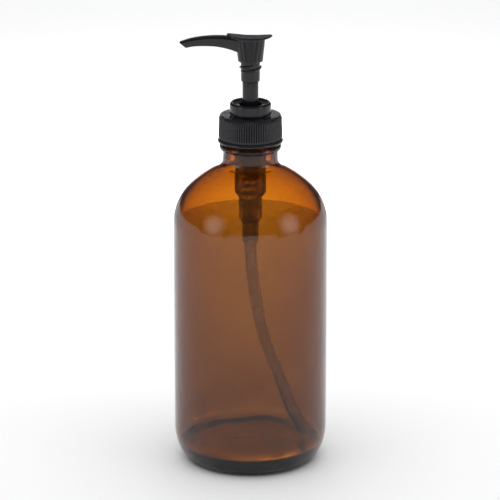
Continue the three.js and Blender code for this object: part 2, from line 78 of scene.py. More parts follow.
camera_data = bpy.data.cameras.new("camera")
camera_data.lens = 196.55
camera_data.sensor_width = 36
camera = bpy.data.objects.new("camera", camera_data)
camera.location = (-0.0002, -1.2705, 0.5036)
camera.rotation_euler = (math.radians(90 - 17.379), 0, 0)
scene.collection.objects.link(camera)
scene.camera = camera


def nodes_of(material):
    material.use_nodes = True
    tree = material.node_tree
    tree.nodes.clear()
    return tree, tree.nodes.new("ShaderNodeOutputMaterial")


def link(tree, source, target):
    tree.links.new(source, target)


def compute(tree, operation, *values):
    """A math node; each value is a number or another node's output."""
    node = tree.nodes.new("ShaderNodeMath")
    node.operation = operation
    for socket, value in zip(node.inputs, values):
        if isinstance(value, (int, float)):
            socket.default_value = value
        else:
            link(tree, value, socket)
    return node.outputs[0]


def smooth_step(tree, source, start, end, low, high):
    node = tree.nodes.new("ShaderNodeMapRange")
    node.interpolation_type = "SMOOTHSTEP"
    node.inputs["From Min"].default_value = start
    node.inputs["From Max"].default_value = end
    node.inputs["To Min"].default_value = low
    node.inputs["To Max"].default_value = high
    link(tree, source, node.inputs["Value"])
    return node.outputs[0]


def floor_material():
    """A plain pale floor, the same to every ray."""
    material = bpy.data.materials.new("pale_floor")
    tree, output = nodes_of(material)
    pale = tree.nodes.new("ShaderNodeBsdfDiffuse")
    pale.inputs["Color"].default_value = (0.86, 0.86, 0.86, 1)
    link(tree, pale.outputs[0], output.inputs["Surface"])
    return material


def build_floor():
    mesh = bpy.data.meshes.new("floor")
    half = 6.0
    corners = [(-half, -half, 0), (half, -half, 0), (half, half, 0), (-half, half, 0)]
    mesh.from_pydata(corners, [], [(0, 1, 2, 3)])
    mesh.materials.append(floor_material())
    floor = bpy.data.objects.new("floor", mesh)
    floor.location.z = -0.0001
    scene.collection.objects.link(floor)


def build_world():
    """An even, neutral room."""
    world = bpy.data.worlds.new("studio")
    scene.world = world
    world.use_nodes = True
    tree = world.node_tree
    tree.nodes.clear()
    output = tree.nodes.new("ShaderNodeOutputWorld")
    room = tree.nodes.new("ShaderNodeBackground")
    room.inputs["Color"].default_value = (0.96, 0.97, 1, 1)
    room.inputs["Strength"].default_value = 0.12
    link(tree, room.outputs[0], output.inputs["Surface"])


def softbox(name, azimuth, distance, height, size, radiance, edge=0.5, aim_z=0.1):
    """A glowing panel, brightest in its middle and fading over its edge share.
    Azimuth is in degrees from the camera's side, positive to the right."""
    angle = math.radians(azimuth)
    centre = Vector((distance * math.sin(angle), -distance * math.cos(angle), height))
    half = (size[0] / 2, size[1] / 2)
    mesh = bpy.data.meshes.new(name)
    corners = [(x * half[0], y * half[1], 0) for x, y in ((-1, -1), (1, -1), (1, 1), (-1, 1))]
    mesh.from_pydata(corners, [], [(0, 1, 2, 3)])
    material = bpy.data.materials.new(name)
    tree, output = nodes_of(material)
    glow = tree.nodes.new("ShaderNodeEmission")
    where = tree.nodes.new("ShaderNodeTexCoord")
    split = tree.nodes.new("ShaderNodeSeparateXYZ")
    link(tree, where.outputs["Object"], split.inputs[0])
    share = []
    for axis in (0, 1):
        off = compute(tree, "ABSOLUTE", split.outputs[axis])
        share.append(smooth_step(tree, off, half[axis] * (1 - edge), half[axis], 1.0, 0.0))
    shape = compute(tree, "MULTIPLY", *share)
    link(tree, compute(tree, "MULTIPLY", shape, radiance), glow.inputs["Strength"])
    link(tree, glow.outputs[0], output.inputs["Surface"])
    mesh.materials.append(material)
    panel = bpy.data.objects.new(name, mesh)
    panel.location = centre
    toward = Vector((0, 0, aim_z)) - centre
    panel.rotation_euler = toward.to_track_quat("Z", "Y").to_euler()
    panel.visible_camera = False
    panel.visible_shadow = False
    scene.collection.objects.link(panel)


def build_lights():
    softbox("softbox_left", -56, 0.80, 0.28, (0.72, 0.88), 2.1, edge=1.0, aim_z=0.12)
    softbox("softbox_right", 61, 0.80, 0.28, (0.72, 0.88), 2.3, edge=1.0, aim_z=0.12)
    softbox("softbox_back", 180, 0.50, 0.10, (0.50, 0.36), 4.6, edge=0.5, aim_z=0.10)
    data = bpy.data.lights.new("overhead", "SUN")
    data.energy = 2.9
    data.angle = math.radians(100)
    light = bpy.data.objects.new("overhead", data)
    light.location = (0, 0, 1.3)
    light.visible_glossy = False
    scene.collection.objects.link(light)


build_floor()
build_world()
build_lights()


# ---- mesh helpers -------------------------------------------------------------------------------

def arc(r, z, radius, start, end, steps):
    """Points of an arc in the (r, z) plane, angles in degrees, both ends included."""
    points = []
    for i in range(steps + 1):
        angle = math.radians(start + (end - start) * i / steps)
        points.append((r + radius * math.cos(angle), z + radius * math.sin(angle)))
    return points


def add_mesh(name, corners, faces, material, smooth=True):
    mesh = bpy.data.meshes.new(name)
    mesh.from_pydata([tuple(c) for c in corners], [], faces)
    mesh.validate()
    mesh.materials.append(material)
    piece = bpy.data.objects.new(name, mesh)
    scene.collection.objects.link(piece)
    if smooth:
        mesh.polygons.foreach_set("use_smooth", [True] * len(mesh.polygons))
        mesh.set_sharp_from_angle(angle=math.radians(40))
    return piece


def refine(outline, longest):
    """Splits the outline's long straight stretches so that no step is over `longest`."""
    points = []
    for (r0, z0), (r1, z1) in zip(outline, outline[1:] + outline[:1]):
        count = max(1, math.ceil(math.hypot(r1 - r0, z1 - z0) / longest))
        points += [(r0 + (r1 - r0) * i / count, z0 + (z1 - z0) * i / count) for i in range(count)]
    return points


def turned(name, outline, material, segments=96, relief=None, longest=3.0):
    """A solid of revolution from a closed outline, counter-clockwise in (r, z), in millimetres.
    Points with r = 0 close on the axis. relief(r, z, angle) gives a new radius for each point."""
    points = refine(outline, longest)
    corners, rings = [], []
    for r, z in points:
        if r < 1e-6:
            rings.append([len(corners)])
            corners.append((0, 0, z * MM))
            continue
        ring = []
        for i in range(segments):
            angle = TAU * i / segments
            radius = relief(r, z, angle) if relief else r
            ring.append(len(corners))
            corners.append((radius * MM * math.cos(angle), radius * MM * math.sin(angle), z * MM))
        rings.append(ring)
    faces = []
    for below, above in zip(rings, rings[1:] + rings[:1]):
        if len(below) == 1 and len(above) == 1:
            continue
        for i in range(segments):
            j = (i + 1) % segments
            if len(below) == 1:
                faces.append((below[0], above[j], above[i]))
            elif len(above) == 1:
                faces.append((below[i], below[j], above[0]))
            else:
                faces.append((below[i], below[j], above[j], above[i]))
    return add_mesh(name, corners, faces, material)


def helix_ridge(z, angle, start_z, lead, turns, half_foot, half_crest, height, starts=1):
    """Height of a screw thread's ridge at (z, angle). It fades in and out over its two ends."""
    best = 0.0
    for k in range(starts):
        turn = ((angle - TAU * k / starts) / TAU) % 1.0
        while turn <= turns:
            away = abs(z - (start_z + lead * turn))
            fade = min(1.0, turn * 8, (turns - turn) * 8)
            flank = (half_foot - away) / (half_foot - half_crest)
            best = max(best, height * fade * min(1.0, max(0.0, flank)))
            turn += 1.0
    return best


def swept(name, route, radius, material, bore=0.0, sides=32):
    """A round tube along points in millimetres, hollow when bore is above 0, closed at both ends."""
    route = [Vector(p) for p in route]
    corners, rings = [], []
    normal = Vector((0, 1, 0))
    frames = []
    for i, p in enumerate(route):
        tangent = (route[min(i + 1, len(route) - 1)] - route[max(i - 1, 0)]).normalized()
        normal = (normal - tangent * normal.dot(tangent)).normalized()
        frames.append((p, normal.copy(), tangent.cross(normal)))

    def ring(p, across, up, r):
        start = len(corners)
        for i in range(sides):
            angle = TAU * i / sides
            corners.append((p + across * (r * math.cos(angle)) + up * (r * math.sin(angle))) * MM)
        rings.append(list(range(start, start + sides)))

    for f in frames:
        ring(*f, radius)
    if bore:
        for f in reversed(frames):
            ring(*f, bore)
    faces = []
    pairs = list(zip(rings, rings[1:]))
    if bore:
        pairs.append((rings[-1], rings[0]))
    for a, b in pairs:
        for i in range(sides):
            j = (i + 1) % sides
            faces.append((a[i], a[j], b[j], b[i]))
    if not bore:
        faces.append(tuple(reversed(rings[0])))
        faces.append(tuple(rings[-1]))
    return add_mesh(name, corners, faces, material)


def place(piece, body, material_slot, *cad_nodes):
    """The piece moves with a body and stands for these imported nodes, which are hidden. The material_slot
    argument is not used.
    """
    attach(piece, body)
    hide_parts(*cad_nodes)


# ---- materials ----------------------------------------------------------------------------------

def principled(name, **values):
    material = bpy.data.materials.new(name)
    tree, output = nodes_of(material)
    shader = tree.nodes.new("ShaderNodeBsdfPrincipled")
    for socket, value in values.items():
        shader.inputs[socket.replace("_", " ")].default_value = value
    link(tree, shader.outputs[0], output.inputs["Surface"])
    return material, tree, shader, output


def noise(tree, scale, detail=3.0, roughness=0.55, stretch=None):
    place_node = tree.nodes.new("ShaderNodeTexCoord")
    texture = tree.nodes.new("ShaderNodeTexNoise")
    texture.inputs["Scale"].default_value = scale
    texture.inputs["Detail"].default_value = detail
    texture.inputs["Roughness"].default_value = roughness
    source = place_node.outputs["Object"]
    if stretch:
        mapping = tree.nodes.new("ShaderNodeMapping")
        mapping.inputs["Scale"].default_value = stretch
        link(tree, source, mapping.inputs["Vector"])
        source = mapping.outputs[0]
    link(tree, source, texture.inputs["Vector"])
    return texture


def spread(tree, source, low, high, target, from_low=0.3, from_high=0.7):
    """Sends a noise output, spread from low to high, into a shader socket."""
    node = tree.nodes.new("ShaderNodeMapRange")
    node.inputs["From Min"].default_value = from_low
    node.inputs["From Max"].default_value = from_high
    node.inputs["To Min"].default_value = low
    node.inputs["To Max"].default_value = high
    link(tree, source, node.inputs["Value"])
    link(tree, node.outputs[0], target)


def tint(tree, source, dark, light, target):
    ramp = tree.nodes.new("ShaderNodeValToRGB")
    ramp.color_ramp.elements[0].position = 0.3
    ramp.color_ramp.elements[0].color = dark
    ramp.color_ramp.elements[1].position = 0.7
    ramp.color_ramp.elements[1].color = light
    link(tree, source, ramp.inputs["Fac"])
    link(tree, ramp.outputs["Color"], target)


def bump(tree, shader, height, strength, distance):
    node = tree.nodes.new("ShaderNodeBump")
    node.inputs["Strength"].default_value = strength
    node.inputs["Distance"].default_value = distance
    link(tree, height, node.inputs["Height"])
    link(tree, node.outputs[0], shader.inputs["Normal"])


def amber_glass():
    material, tree, shader, output = principled(
        "amber_glass", Base_Color=(1, 1, 1, 1), Roughness=0.0, IOR=1.52, Transmission_Weight=1.0)
    depth = tree.nodes.new("ShaderNodeVolumeAbsorption")
    depth.inputs["Color"].default_value = (0.739, 0.558, 0.0, 1)
    depth.inputs["Density"].default_value = 1300
    link(tree, depth.outputs[0], output.inputs["Volume"])
    ripple = noise(tree, 38, detail=1.0, stretch=(1, 1, 0.45))
    bump(tree, shader, ripple.outputs["Fac"], 0.12, 0.0006)
    haze = noise(tree, 90, detail=4.0)
    spread(tree, haze.outputs["Fac"], 0.0, 0.012, shader.inputs["Roughness"])
    return material


def black_plastic(name, gloss, grain, shade=0.012):
    material, tree, shader, _ = principled(
        name, Base_Color=(shade, shade, shade * 1.3, 1), Roughness=gloss, IOR=1.49)
    cloud = noise(tree, 160, detail=5.0)
    lift = shade * 1.35
    tint(tree, cloud.outputs["Fac"], (shade, shade, shade * 1.3, 1), (lift, lift, lift * 1.35, 1),
         shader.inputs["Base Color"])
    spread(tree, cloud.outputs["Fac"], gloss - 0.05, gloss + 0.07, shader.inputs["Roughness"])
    fine = noise(tree, 2600, detail=2.0)
    bump(tree, shader, fine.outputs["Fac"], grain, 0.00005)
    return material


def clear_plastic(name, colour, gloss, transmission):
    material, tree, shader, _ = principled(
        name, Base_Color=colour, Roughness=gloss, IOR=1.49, Transmission_Weight=transmission)
    cloud = noise(tree, 120, detail=4.0)
    darker = tuple(c * 0.9 for c in colour[:3]) + (1,)
    tint(tree, cloud.outputs["Fac"], darker, colour, shader.inputs["Base Color"])
    spread(tree, cloud.outputs["Fac"], gloss - 0.06, gloss + 0.08, shader.inputs["Roughness"])
    return material


def polished_steel():
    material, tree, shader, _ = principled(
        "polished_steel", Base_Color=(0.62, 0.63, 0.64, 1), Metallic=1.0, Roughness=0.2)
    drawn = noise(tree, 500, detail=3.0)
    spread(tree, drawn.outputs["Fac"], 0.14, 0.3, shader.inputs["Roughness"])
    tint(tree, drawn.outputs["Fac"], (0.55, 0.56, 0.57, 1), (0.66, 0.67, 0.68, 1),
         shader.inputs["Base Color"])
    return material


GLASS = amber_glass()
GLOSS_BLACK = black_plastic("black_gloss_plastic", 0.20, 0.2, 0.0055)
MATT_BLACK = black_plastic("black_matt_plastic", 0.24, 0.12, 0.0075)
NATURAL = clear_plastic("natural_polypropylene", (0.92, 0.90, 0.87, 1), 0.14, 0.72)
TUBE = clear_plastic("natural_polyethylene", (0.90, 0.88, 0.84, 1), 0.16, 0.93)
LINER = clear_plastic("white_liner", (0.82, 0.82, 0.80, 1), 0.5, 0.0)
STEEL = polished_steel()


# ---- bottle -------------------------------------------------------------------------------------

BODY_R = reach("bottle")
RIM_Z = high_z("bottle")
WALL = 2.6
SHOULDER_Z = 121.0
SHOULDER_R = (25.56, 39.42)
SHOULDER_TURN = 37.55
NECK_R = 13.5
NECK_FILLET_R = 3.45
HEEL_R = (25.22, 8.0)
HEEL_TURN = 28.2
FOOT_WIDTH = 3.0
PUSH_UP = 3.6
INNER_CORNER_R = 2.2
INNER_LOW_R = 34.5
INNER_BOTTOM_Z = 8.2
TAPER_TOP_Z = 95.0
INNER_WAVE = 0.16  # unevenness of the inner wall, full WAVE_FADE below WAVE_TOP_Z
WAVE_TOP_Z = 110
WAVE_FADE = 80
BEAD_Z = 156.9
BEAD_H = 3.5
BEAD_R = 15.0
MOUTH_R = 10.2
RIM_EDGE_R = 0.6
THREAD_LEAD = 25.4 / 6
THREAD_ROOT_R = 12.75
THREAD_Z = 162.3


def shoulder(inset, steps):
    """The shoulder's two arcs and the neck's fillet, moved inwards by inset."""
    turn = math.radians(SHOULDER_TURN)
    r1 = BODY_R - SHOULDER_R[0]
    z1 = SHOULDER_Z
    shift = SHOULDER_R[0] - SHOULDER_R[1]
    r2 = r1 + shift * math.cos(turn)
    z2 = z1 + shift * math.sin(turn)
    fillet_r = NECK_R + NECK_FILLET_R
    span = SHOULDER_R[1] + NECK_FILLET_R
    fillet_z = z2 + math.sqrt(span ** 2 - (fillet_r - r2) ** 2)
    meet = math.degrees(math.atan2(fillet_z - z2, fillet_r - r2))
    points = arc(r1, z1, SHOULDER_R[0] - inset, 0, SHOULDER_TURN, steps)
    points += arc(r2, z2, SHOULDER_R[1] - inset, SHOULDER_TURN, meet, steps)[1:]
    points += arc(fillet_r, fillet_z, NECK_FILLET_R + inset, meet + 180, 180, steps // 2)[1:]
    return points


def heel(steps):
    turn = math.radians(HEEL_TURN)
    span = HEEL_R[0] - HEEL_R[1]
    foot_r = BODY_R - HEEL_R[0] + span * math.cos(turn)
    first_z = HEEL_R[1] + span * math.sin(turn)
    points = arc(foot_r, HEEL_R[1], HEEL_R[1], -90, -HEEL_TURN, steps)
    points += arc(BODY_R - HEEL_R[0], first_z, HEEL_R[0], -HEEL_TURN, 0, steps)[1:]
    return foot_r, points


def glass_relief(r, z, angle):
    """The thread outside the neck's finish, and the blown glass's uneven inner wall low down."""
    if THREAD_ROOT_R - 0.01 < r < THREAD_ROOT_R + 0.3 and z > BEAD_Z + BEAD_H:
        return r + helix_ridge(z, angle, THREAD_Z, THREAD_LEAD, 1.1, 1.2, 0.6, 1.05)
    if r < BODY_R - 2.2 and INNER_BOTTOM_Z + INNER_CORNER_R - 0.1 < z < WAVE_TOP_Z:
        low = min(1.0, max(0.0, (WAVE_TOP_Z - z) / WAVE_FADE))
        wave = math.sin(2 * angle + z / 17) + 0.5 * math.sin(5 * angle - z / 8)
        wave += 0.3 * math.sin(9 * angle + z / 5)
        return r + INNER_WAVE * low * wave
    return r


def inner_wall(steps):
    """The inside of the body from the shoulder down, thickening towards the base."""
    top_r = BODY_R - WALL
    corner_z = INNER_BOTTOM_Z + INNER_CORNER_R
    points = []
    for i in range(steps + 1):
        t = i / steps
        radius = top_r - (top_r - INNER_LOW_R) * t ** 2
        points.append((radius, TAPER_TOP_Z + (corner_z - TAPER_TOP_Z) * t))
    return points


def build_bottle():
    foot_r, heel_points = heel(12)
    push_r = foot_r - FOOT_WIDTH
    bead = BEAD_H / 2
    corner_r = INNER_LOW_R - INNER_CORNER_R
    finish_low = BEAD_Z + BEAD_H + 0.1
    edge_z = RIM_Z - RIM_EDGE_R
    rings = int((edge_z - finish_low) / 0.25)
    outline = [(0, PUSH_UP)]
    outline += [(push_r * s, PUSH_UP * (1 - s ** 3)) for s in (0.2, 0.4, 0.55, 0.7, 0.8, 0.88, 0.94, 0.98)]
    outline += [(push_r + 0.2, 0.0)]
    outline += heel_points
    outline += shoulder(0, 20)
    outline += [(NECK_R, BEAD_Z - 0.9)]
    outline += arc(BEAD_R - bead, BEAD_Z + bead, bead, -75, 75, 14)
    outline += [(THREAD_ROOT_R + 0.35, finish_low - 0.1)]
    for i in range(rings + 1):
        outline.append((THREAD_ROOT_R, finish_low + (edge_z - finish_low) * i / rings))
    outline += arc(THREAD_ROOT_R - RIM_EDGE_R, edge_z, RIM_EDGE_R, 15, 90, 5)
    outline += arc(MOUTH_R + RIM_EDGE_R, edge_z, RIM_EDGE_R, 90, 180, 5)
    outline += [(MOUTH_R, BEAD_Z + 2)]
    outline += list(reversed(shoulder(WALL, 16)))
    outline += inner_wall(30)
    outline += arc(corner_r, INNER_BOTTOM_Z + INNER_CORNER_R, INNER_CORNER_R, 0, -90, 14)[1:]
    outline += [(corner_r * s, INNER_BOTTOM_Z) for s in (0.8, 0.6, 0.4, 0.2, 0)]
    bottle = turned("bottle_glass", outline, GLASS, 160, glass_relief, 4.0)
    place(bottle, "bottle", "amber_glass", "bottle")


build_bottle()


# ---- closure ------------------------------------------------------------------------------------

CLOSURE_Z = low_z("closure")
CLOSURE_TOP_Z = high_z("closure")
CLOSURE_FLANGE_R = reach("closure")
CLOSURE_R = 15.1
CLOSURE_LOW_R = 15.4
CLOSURE_FLANGE_H = 2.3
CLOSURE_BORE_R = 14.1
CLOSURE_ROOF = 1.6
CLOSURE_HOLE_R = 7.9
CLOSURE_EDGE_R = 0.8
RIB_COUNT = 80
RIB_DEPTH = 0.5
RIB_LOW_Z = CLOSURE_Z + CLOSURE_FLANGE_H + 0.15
RIB_TOP_Z = CLOSURE_TOP_Z - 0.75


def closure_relief(r, z, angle):
    """Grip ribs outside and the screw thread inside."""
    if r > CLOSURE_R - RIB_DEPTH - 0.1 and RIB_LOW_Z <= z <= RIB_TOP_Z + 0.1:
        fade = min(1.0, (z - RIB_LOW_Z) / 0.4, (RIB_TOP_Z + 0.1 - z) / 0.4)
        rib = (0.5 + 0.5 * math.cos(RIB_COUNT * angle)) ** 0.7
        return r + RIB_DEPTH * fade * rib
    if abs(r - CLOSURE_BORE_R) < 0.01:
        first = THREAD_Z - 1.83 + THREAD_LEAD * 0.29
        turned_angle = angle - 0.29 * TAU
        return r - helix_ridge(z, turned_angle, first, THREAD_LEAD, 1.0, 0.75, 0.4, 1.0)
    return r


def build_closure():
    flange = CLOSURE_FLANGE_H / 2
    edge = CLOSURE_EDGE_R
    roof_z = CLOSURE_TOP_Z - CLOSURE_ROOF
    low_r, top_r = CLOSURE_LOW_R - RIB_DEPTH, CLOSURE_R - RIB_DEPTH
    rings = int((RIB_TOP_Z - RIB_LOW_Z) / 0.6)
    wall = [(low_r + (top_r - low_r) * i / rings, RIB_LOW_Z + (RIB_TOP_Z - RIB_LOW_Z) * i / rings)
            for i in range(rings + 1)]
    depths = int((roof_z - CLOSURE_Z) / 0.35)
    bore = [(CLOSURE_BORE_R, roof_z - (roof_z - CLOSURE_Z - 0.3) * i / depths) for i in range(depths + 1)]
    outline = [(CLOSURE_BORE_R + 0.3, CLOSURE_Z)]
    outline += arc(CLOSURE_FLANGE_R - flange, CLOSURE_Z + flange, flange, -90, 80, 10)
    outline += wall
    outline += arc(CLOSURE_R - edge - 0.15, CLOSURE_TOP_Z - edge, edge, 8, 90, 7)
    outline += arc(CLOSURE_HOLE_R + 0.3, CLOSURE_TOP_Z - 0.3, 0.3, 90, 180, 4)
    outline += [(CLOSURE_HOLE_R, roof_z)]
    outline += bore
    closure = turned("closure_shell", outline, MATT_BLACK, 8 * RIB_COUNT, closure_relief, 1.5)
    place(closure, "cap", "black_matt", "closure")


build_closure()


# ---- pump body ----------------------------------------------------------------------------------

CYLINDER_R = 7.55
CYLINDER_BORE_R = 6.6
CYLINDER_TOP_Z = high_z("housing")
CYLINDER_END_Z = 135.7
FLANGE_R = reach("housing")
FLANGE_Z = 171.2
FLANGE_H = 1.3
CAGE_R = 5.6
CAGE_TOP_Z = 132.9
CAGE_END_Z = 123.0
SPRING_BORE_R = 4.7
LEDGE_Z = 128.2
BALL_BORE_R = 3.0
SEAT_HOLE_R = 1.5
SEAT_Z = 120.7
SOCKET_R = 4.0
SOCKET_TOP_Z = 120.2
SOCKET_END_Z = low_z("housing")
SOCKET_FLOOR_Z = 119.3
TUBE_R = 3.0
TUBE_BORE_R = 2.2
GAP = 0.3
VENT_Z = 168.5


def rounded(outline, radius):
    """The closed outline with its corners of more than 20 degrees cut by two-step rounds."""
    points = []
    count = len(outline)
    for i, here in enumerate(outline):
        p = Vector(here)
        a, b = Vector(outline[i - 1]) - p, Vector(outline[(i + 1) % count]) - p
        if here[0] < 1e-6 or min(a.length, b.length) < 1e-6 or a.angle(b) > math.radians(160):
            points.append(here)
            continue
        reach_a = min(radius, 0.4 * a.length)
        reach_b = min(radius, 0.4 * b.length)
        start, end = p + a.normalized() * reach_a, p + b.normalized() * reach_b
        for t in (0.0, 0.33, 0.67, 1.0):
            q = start * (1 - t) ** 2 + p * (2 * t * (1 - t)) + end * t ** 2
            points.append((q.x, q.y))
    return points


def build_gasket():
    low, high = low_z("gasket"), high_z("gasket")
    inner, outer = CYLINDER_R + 0.35, reach("gasket")
    outline = [(inner, low), (outer, low), (outer, high), (inner, high)]
    gasket = turned("gasket_ring", rounded(outline, 0.25), LINER, 96)
    place(gasket, "pump", "liner", "gasket")


def box_mesh(name, low, high, turn, material):
    corners = []
    for x in (low[0], high[0]):
        for y in (low[1], high[1]):
            for z in (low[2], high[2]):
                c, s = math.cos(turn), math.sin(turn)
                corners.append((MM * (x * c - y * s), MM * (x * s + y * c), MM * z))
    faces = [(0, 1, 3, 2), (4, 6, 7, 5), (0, 4, 5, 1), (2, 3, 7, 6), (0, 2, 6, 4), (1, 5, 7, 3)]
    return add_mesh(name, corners, faces, material, smooth=False)


def applied(piece):
    """Bakes the piece's modifiers into its mesh."""
    graph = bpy.context.evaluated_depsgraph_get()
    baked = bpy.data.meshes.new_from_object(piece.evaluated_get(graph))
    piece.modifiers.clear()
    piece.data = baked
    return piece


def soften_edges(piece, width_mm):
    bevel = piece.modifiers.new("edges", "BEVEL")
    bevel.width = width_mm * MM
    bevel.segments = 3
    bevel.limit_method = "ANGLE"
    return applied(piece)


def drill(piece, cutter):
    """Cuts the cutter's shape out of the piece and removes the cutter."""
    boolean = piece.modifiers.new("hole", "BOOLEAN")
    boolean.operation = "DIFFERENCE"
    boolean.solver = "EXACT"
    boolean.object = cutter
    applied(piece)
    bpy.data.objects.remove(cutter)
    return piece


def build_housing():
    seat_top = SEAT_Z + BALL_BORE_R - SEAT_HOLE_R
    socket_bore = TUBE_R + GAP
    outline = [
        (socket_bore, SOCKET_END_Z), (SOCKET_R, SOCKET_END_Z), (SOCKET_R, SOCKET_TOP_Z),
        (CAGE_R, CAGE_END_Z), (CAGE_R, CAGE_TOP_Z), (CYLINDER_R, CYLINDER_END_Z),
        (CYLINDER_R, FLANGE_Z), (FLANGE_R, FLANGE_Z), (FLANGE_R, FLANGE_Z + FLANGE_H),
        (CYLINDER_R, FLANGE_Z + FLANGE_H), (CYLINDER_R, CYLINDER_TOP_Z),
        (CYLINDER_BORE_R, CYLINDER_TOP_Z), (CYLINDER_BORE_R, CYLINDER_END_Z + 0.9),
        (SPRING_BORE_R, CAGE_TOP_Z + 0.5), (SPRING_BORE_R, LEDGE_Z), (BALL_BORE_R, LEDGE_Z),
        (BALL_BORE_R, seat_top), (SEAT_HOLE_R, SEAT_Z), (SEAT_HOLE_R, SOCKET_FLOOR_Z),
        (socket_bore, SOCKET_FLOOR_Z),
    ]
    housing = turned("housing_body", rounded(outline, 0.3), NATURAL, 72)
    vent = swept("vent_cutter", [(0, 0, VENT_Z), (CYLINDER_R + 1, 0, VENT_Z)], 0.5, NATURAL, sides=20)
    drill(housing, vent)
    place(housing, "pump", "natural_plastic", "housing")
    for i in range(3):
        low = (2.0, -0.45, LEDGE_Z - 1.05)
        high = (BALL_BORE_R + 0.6, 0.45, LEDGE_Z - 0.05)
        rib = box_mesh(f"ball_stop_{i}", low, high, TAU * i / 3, NATURAL)
        place(soften_edges(rib, 0.12), "pump", "natural_plastic")


COLLAR_R = reach("chaplet")
COLLAR_TOP_Z = high_z("chaplet")
COLLAR_RIM_R = 9.0
COLLAR_DISH = 0.9
STEM_R = 3.9
GUIDE_R = STEM_R + GAP
GUIDE_Z = low_z("chaplet")
LOCK_BORE_R = 5.4
LOCK_FLOOR_Z = COLLAR_TOP_Z - 4.6
LOCK_LEAD = 4.4


def collar_relief(r, z, angle):
    """The two ridges that take the head's lock thread."""
    if abs(r - LOCK_BORE_R) < 0.01 and z > LOCK_FLOOR_Z:
        start = LOCK_FLOOR_Z + 1.0
        return r - helix_ridge(z, angle, start, LOCK_LEAD, 0.4, 0.5, 0.25, 0.4, starts=2)
    return r


def build_chaplet():
    low = CLOSURE_TOP_Z + GAP
    slot_top = CYLINDER_TOP_Z + GAP
    edge = COLLAR_R - COLLAR_RIM_R
    dish_z = COLLAR_TOP_Z - COLLAR_DISH
    sleeve_r = CYLINDER_BORE_R - GAP
    steps = 16
    lock_z = dish_z - 0.35
    lock = [(LOCK_BORE_R, lock_z - (lock_z - LOCK_FLOOR_Z) * i / steps) for i in range(steps + 1)]
    outline = [
        (GUIDE_R, GUIDE_Z + 0.3), (GUIDE_R + 0.3, GUIDE_Z),
        (sleeve_r - 0.3, GUIDE_Z), (sleeve_r, GUIDE_Z + 0.3),
        (sleeve_r, slot_top), (CYLINDER_R + GAP, slot_top), (CYLINDER_R + GAP, low),
        (COLLAR_R - 0.25, low), (COLLAR_R, low + 0.25),
    ]
    outline += arc(COLLAR_RIM_R, COLLAR_TOP_Z - edge, edge, 0, 90, 8)
    outline += arc(COLLAR_RIM_R, COLLAR_TOP_Z - 0.35, 0.35, 95, 170, 3)
    outline += [(COLLAR_RIM_R - 0.7, dish_z + 0.08), (COLLAR_RIM_R - 1.0, dish_z)]
    outline += [(LOCK_BORE_R + 0.3, dish_z - 0.15), (LOCK_BORE_R + 0.08, dish_z - 0.22)]
    outline += lock
    outline += [(GUIDE_R, LOCK_FLOOR_Z)]
    chaplet = turned("locking_collar", outline, GLOSS_BLACK, 128, collar_relief, 3.0)
    place(chaplet, "pump", "black_gloss", "chaplet")


def smooth_route(knots, steps):
    """Points along a centripetal Catmull-Rom curve through the knots."""
    knots = [Vector(k) for k in knots]
    padded = [2 * knots[0] - knots[1]] + knots + [2 * knots[-1] - knots[-2]]
    points = []
    for a, b, c, d in zip(padded, padded[1:], padded[2:], padded[3:]):
        t1 = math.sqrt((b - a).length)
        t2 = t1 + math.sqrt((c - b).length)
        t3 = t2 + math.sqrt((d - c).length)
        for i in range(steps):
            t = t1 + (t2 - t1) * i / steps
            ab = a.lerp(b, t / t1)
            bc = b.lerp(c, (t - t1) / (t2 - t1))
            cd = c.lerp(d, (t - t2) / (t3 - t2))
            abc = ab.lerp(bc, t / t2)
            bcd = bc.lerp(cd, (t - t1) / (t3 - t1))
            points.append(abc.lerp(bcd, (t - t1) / (t2 - t1)))
    return points + [knots[-1]]


def build_dip_tube():
    knots = [(0, 0, SOCKET_FLOOR_Z - GAP), (0, 0, SOCKET_END_Z - 4), (1.5, 0, 90), (6.0, 0, 65),
             (14.0, 0, 41), (22.2, 0, 20.8), (27.4, 0, 11.2)]
    tube = swept("dip_tube_bent", smooth_route(knots, 14), TUBE_R, TUBE, TUBE_BORE_R, 32)
    place(tube, "pump", "tube_plastic", "dip_tube")


WIRE_R = 0.45
COIL_R = 3.75
COIL_TURNS = 8
PLUG_FLANGE_Z = 151.9


def build_spring():
    low = LEDGE_Z + GAP + WIRE_R
    height = PLUG_FLANGE_Z - GAP - WIRE_R - low
    flat = 1 / COIL_TURNS
    flat_rise = 2.3 * WIRE_R / height
    count = COIL_TURNS * 40
    route = []
    for i in range(count + 1):
        t = i / count
        rise = flat_rise + (1 - 2 * flat_rise) * (t - flat) / (1 - 2 * flat)
        if t < flat:
            rise = flat_rise * t / flat
        if t > 1 - flat:
            rise = 1 - flat_rise * (1 - t) / flat
        angle = TAU * COIL_TURNS * t
        route.append((COIL_R * math.cos(angle), COIL_R * math.sin(angle), low + height * rise))
    spring = swept("return_spring", route, WIRE_R, STEEL, sides=12)
    place(spring, "pump", "steel", "spring")
    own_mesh(spring)


def build_ball():
    centre = (low_z("inlet_ball") + high_z("inlet_ball")) / 2
    radius = (high_z("inlet_ball") - low_z("inlet_ball")) / 2
    outline = arc(0, centre, radius, -90, 90, 24)
    outline[0] = (0, outline[0][1])
    outline[-1] = (0, outline[-1][1])
    ball = turned("inlet_ball_steel", outline, STEEL, 48, longest=99)
    place(ball, "ball", "steel", "inlet_ball")


build_gasket()
build_housing()
build_chaplet()
build_dip_tube()
build_spring()
build_ball()


# ---- plunger ------------------------------------------------------------------------------------

STEM_BORE_R = 2.7
STEM_Z = low_z("stem")
STEM_TOP_Z = high_z("stem")
STEM_STEP_Z = 190.6
STEM_TOP_R = 3.5
STEM_TOP_BORE_R = 2.4


